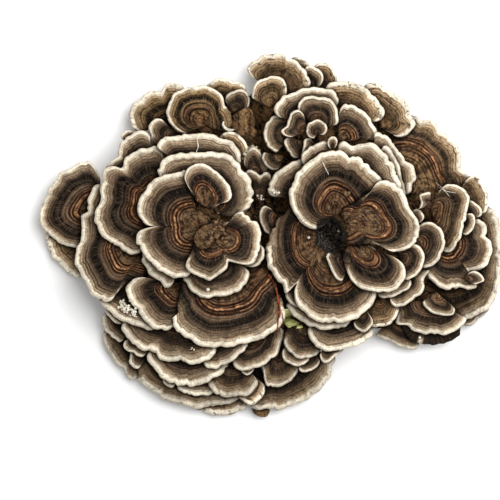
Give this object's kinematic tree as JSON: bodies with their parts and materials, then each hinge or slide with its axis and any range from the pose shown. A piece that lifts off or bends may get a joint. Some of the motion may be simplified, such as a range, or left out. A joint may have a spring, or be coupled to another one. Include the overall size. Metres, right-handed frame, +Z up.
{
  "type": "turkey tail fungus cluster",
  "caption": "Cluster of overlapping fan-shaped bracket fungus caps with concentric zones, grown together on one crust and cut off flat beneath.",
  "frame": {"origin": "on the flat cut face, near the middle of the cluster", "axes": "+Z up from the cut face, +X along the cluster's longest side, +Y towards its back"},
  "size_m": [0.2336, 0.1822, 0.057],
  "materials": {
    "young": "velvety, zoned, with a cream margin",
    "rusty": "velvety, zoned in dark brown and orange, with a cream margin",
    "weathered": "dull, old, olive brown",
    "shaded": "dull, dark brown",
    "crust": "rough, dark brown"
  },
  "bodies": {
    "root": {"fused_base": "crust", "far_right_cap": "young", "right_old_outer_cap": "weathered", "right_outer_cap": "weathered", "top_far_right_cap": "weathered", "top_right_cap": "weathered", "top_outer_cap": "weathered", "top_back_old_cap": "weathered", "top_left_outer_cap": "weathered", "left_outer_lower_cap": "weathered", "left_outer_cap": "rusty", "lower_left_outer_cap": "shaded", "front_bottom_cap": "weathered", "front_outer_left_cap": "shaded", "front_outer_right_cap": "shaded", "lower_right_dark_cap": "shaded", "lower_right_front_cap": "young", "front_low_middle_cap": "shaded", "front_third_cap": "young", "front_low_right_cap": "shaded", "front_middle_right_cap": "young", "front_middle_cap": "young", "front_second_cap": "young", "lower_left_first_cap": "young", "front_right_dark_cap": "shaded", "front_right_brown_cap": "rusty", "lower_middle_right_cap": "weathered", "right_lower_cap": "rusty", "right_under_cap": "young", "right_middle_cap": "rusty", "right_round_cap": "young", "right_small_round_cap": "young", "top_inner_left_cap": "weathered", "top_middle_old_cap": "weathered", "top_left_big_cap": "rusty", "left_shoulder_cap": "young", "left_lower_big_cap": "rusty", "left_middle_big_cap": "rusty", "upper_rim_cap": "rusty", "centre_left_cap": "young", "top_centre_cap": "young", "top_inner_right_cap": "rusty", "top_centre_inner_cap": "young", "centre_grey_lobe_cap": "young", "right_back_upper_cap": "young", "right_rosette_under_cap": "young", "front_left_pale_cap": "young", "big_front_cap": "rusty", "right_rosette_left_cap": "young", "right_rosette_grey_cap": "young", "right_rosette_front_cap": "rusty", "left_under_front_cap": "young", "left_rosette_back_cap": "young", "right_rosette_lower_cap": "rusty", "left_rosette_left_cap": "rusty", "right_rosette_back_cap": "rusty", "left_rosette_crescent_cap": "rusty", "right_rosette_top_cap": "rusty", "left_rosette_front_cap": "rusty"}
  },
  "joints": []
}
